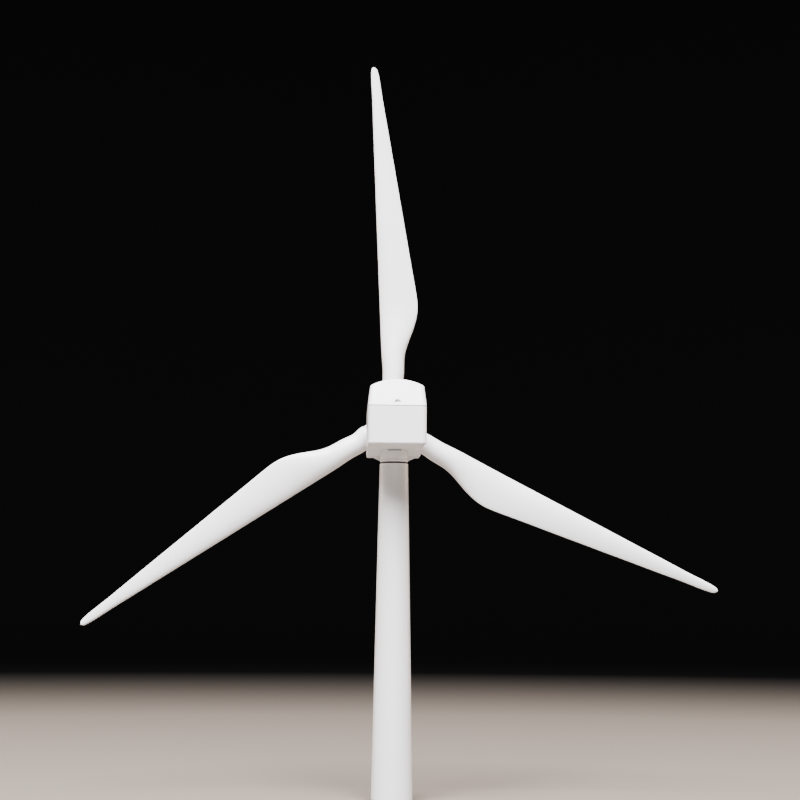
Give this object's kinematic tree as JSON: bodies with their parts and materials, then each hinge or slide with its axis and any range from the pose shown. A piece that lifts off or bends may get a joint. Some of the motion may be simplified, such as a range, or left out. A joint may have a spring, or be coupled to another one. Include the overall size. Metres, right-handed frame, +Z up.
{
  "type": "wind turbine model",
  "caption": "Tabletop wind turbine: twisted blades on a hub turn a small generator in a box nacelle that swivels on a tapered round tower.",
  "frame": {"origin": "centre of the tower's foot, on the face that stands on the base", "axes": "+Z up along the tower; the rotor faces -Y, so the nacelle's rear end is at +Y; +X completes the right-handed frame"},
  "size_m": [0.2942, 0.074, 0.3409],
  "materials": {
    "white_plastic": "satin",
    "dark_plastic": "matte",
    "brass": "satin",
    "bright_steel": "bright zinc plate",
    "can_steel": "satin",
    "sintered_bronze": "matte",
    "cap_nylon": "matte",
    "magnet": "matte ferrite",
    "copper_wire": "enamelled",
    "copper_bar": "turned copper",
    "capacitor": "dipped resin",
    "red_insulation": "satin",
    "black_insulation": "satin"
  },
  "bodies": {
    "tower": {"tower_tube": "white_plastic", "tower_head": "white_plastic", "foot_plug": "dark_plastic", "contact_rivets": "brass", "yaw_washer": "dark_plastic", "slip_core": "dark_plastic", "slip_ring_lower": "brass", "slip_ring_upper": "brass", "tower_lead_black": "black_insulation", "tower_lead_red": "red_insulation"},
    "nacelle": {"yaw_collar": "white_plastic", "retaining_clip": "bright_steel", "collar_screws": "bright_steel", "lower_housing": "white_plastic", "wiper_black": "brass", "wiper_red": "brass", "wiper_block": "dark_plastic", "motor_cradle": "dark_plastic", "motor_clip": "bright_steel", "motor_can": "can_steel", "motor_front_bush": "sintered_bronze", "motor_end_cap": "cap_nylon", "motor_rear_bush": "sintered_bronze", "motor_magnet_left": "magnet", "motor_magnet_right": "magnet", "brush_arm_left": "brass", "brush_arm_right": "brass", "terminal_left": "brass", "terminal_right": "brass", "suppressor_capacitor": "capacitor", "nacelle_lead_black": "black_insulation", "nacelle_lead_red": "red_insulation"},
    "cover": {"top_cover": "white_plastic"},
    "rotor": {"motor_shaft": "bright_steel", "armature_core": "can_steel", "armature_windings": "copper_wire", "commutator": "copper_bar", "hub_body": "white_plastic", "hub_back_plate": "white_plastic", "hub_insert": "brass", "blade_screws": "bright_steel", "spinner_nose": "white_plastic", "blade_1": "white_plastic", "blade_2": "white_plastic", "blade_3": "white_plastic"}
  },
  "joints": [
    {"name": "yaw_swivel", "type": "hinge", "parent": "tower", "child": "nacelle", "pos_m": [0, 0, 0.1513], "axis": [0, 0, 1], "range_deg": [-165, 165]},
    {"name": "rotor_spin", "type": "hinge", "parent": "nacelle", "child": "rotor", "pos_m": [0, -0.022, 0.1712], "axis": [0, 1, 0], "continuous": true},
    {"name": "cover_lift", "type": "slide", "parent": "nacelle", "child": "cover", "axis": [0, 0, 1], "range_m": [0, 0.024]}
  ]
}
